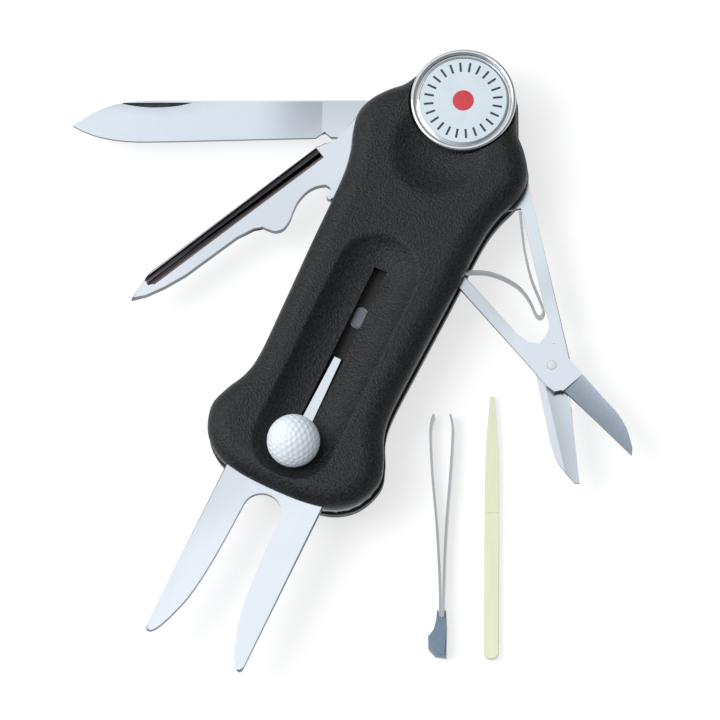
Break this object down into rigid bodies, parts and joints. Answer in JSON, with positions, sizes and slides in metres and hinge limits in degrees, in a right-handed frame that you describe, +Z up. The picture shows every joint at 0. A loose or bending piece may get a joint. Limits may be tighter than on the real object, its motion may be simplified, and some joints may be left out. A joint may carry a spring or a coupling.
{
  "type": "golf divot repair tool",
  "caption": "Pocket divot repair tool: sliding fork with ball knob, lift-off ball marker, folding blade, groove cleaner and scissors, toothpick and tweezers.",
  "frame": {"origin": "on the flat back face, on the handle's centre line, halfway along the handle", "axes": "+Y along the handle towards the ball marker, +X towards the scissors side, +Z up out of the front, away from the face that it lies on"},
  "size_m": [0.1244, 0.1275, 0.0197],
  "materials": {
    "black_nylon": "fine moulded texture",
    "polished_steel": "polished",
    "satin_steel": "satin",
    "brass": "turned",
    "chrome": "bright",
    "white_plastic": "dimpled, semi-gloss",
    "marker_disc": "smooth lacquer",
    "magnet": "nickel plated",
    "ivory_plastic": "smooth satin",
    "blue_grey_plastic": "smooth satin"
  },
  "bodies": {
    "handle": {"front_shell": "black_nylon", "back_shell": "black_nylon", "front_liner": "polished_steel", "middle_liner": "polished_steel", "back_liner": "polished_steel", "blade_backspring": "satin_steel", "tool_backspring": "satin_steel", "lower_spacer": "polished_steel", "left_pivot_rivet": "brass", "right_pivot_rivet": "brass", "left_lower_rivet": "brass", "right_lower_rivet": "brass", "head_rivet": "brass", "slot_stud": "polished_steel", "marker_magnet": "magnet"},
    "fork": {"repair_fork": "polished_steel", "ball_knob": "white_plastic", "knob_rivet": "polished_steel"},
    "blade": {"blade": "polished_steel"},
    "cleaner": {"groove_cleaner": "polished_steel"},
    "scissors": {"scissor_long_lever": "polished_steel", "scissor_rivet": "polished_steel", "scissor_spring": "satin_steel"},
    "scissor_lever": {"scissor_short_lever": "polished_steel"},
    "marker": {"marker_cup": "chrome", "marker_disc": "marker_disc"},
    "toothpick": {"toothpick": "ivory_plastic"},
    "tweezers": {"tweezer_grip": "blue_grey_plastic"},
    "left_leaf": {"tweezer_leaf_left": "polished_steel"},
    "right_leaf": {"tweezer_leaf_right": "polished_steel"}
  },
  "joints": [
    {"name": "fork_slide", "type": "slide", "parent": "handle", "child": "fork", "axis": [0, 1, 0], "range_m": [0, 0.0345]},
    {"name": "blade_hinge", "type": "hinge", "parent": "handle", "child": "blade", "pos_m": [-0.01055, 0.0313, 0.00585], "axis": [0, 0, 1], "range_deg": [-114.8, 65.2]},
    {"name": "cleaner_hinge", "type": "hinge", "parent": "handle", "child": "cleaner", "pos_m": [-0.01055, 0.0313, 0.00835], "axis": [0, 0, 1], "range_deg": [-151.65, 28.35]},
    {"name": "scissors_hinge", "type": "hinge", "parent": "handle", "child": "scissors", "pos_m": [0.01055, 0.0313, 0.00775], "axis": [0, 0, 1], "range_deg": [-38.35, 80]},
    {"name": "lever_hinge", "type": "hinge", "parent": "scissors", "child": "scissor_lever", "pos_m": [0.03686, -0.00195, 0.00895], "axis": [0, 0, 1], "range_deg": [-26.4, 0], "stiffness_Nm_per_rad": 0.02, "deforming": ["scissor_spring"]},
    {"name": "marker_lift", "type": "slide", "parent": "handle", "child": "marker", "axis": [0, 0, 1], "range_m": [0, 0.02]},
    {"name": "toothpick_lift", "type": "slide", "parent": "handle", "child": "toothpick", "axis": [0, 0, 1], "range_m": [0, 0.03]},
    {"name": "tweezers_lift", "type": "slide", "parent": "handle", "child": "tweezers", "axis": [0, 0, 1], "range_m": [0, 0.03]},
    {"name": "left_leaf_flex", "type": "hinge", "parent": "tweezers", "child": "left_leaf", "pos_m": [0.03676, -0.05132, 0.0015], "axis": [0, 0, 1], "range_deg": [-1.9, 0], "stiffness_Nm_per_rad": 0.01},
    {"name": "right_leaf_flex", "type": "hinge", "parent": "tweezers", "child": "right_leaf", "pos_m": [0.03736, -0.05104, 0.0015], "axis": [0, 0, 1], "range_deg": [0, 1.9]}
  ]
}
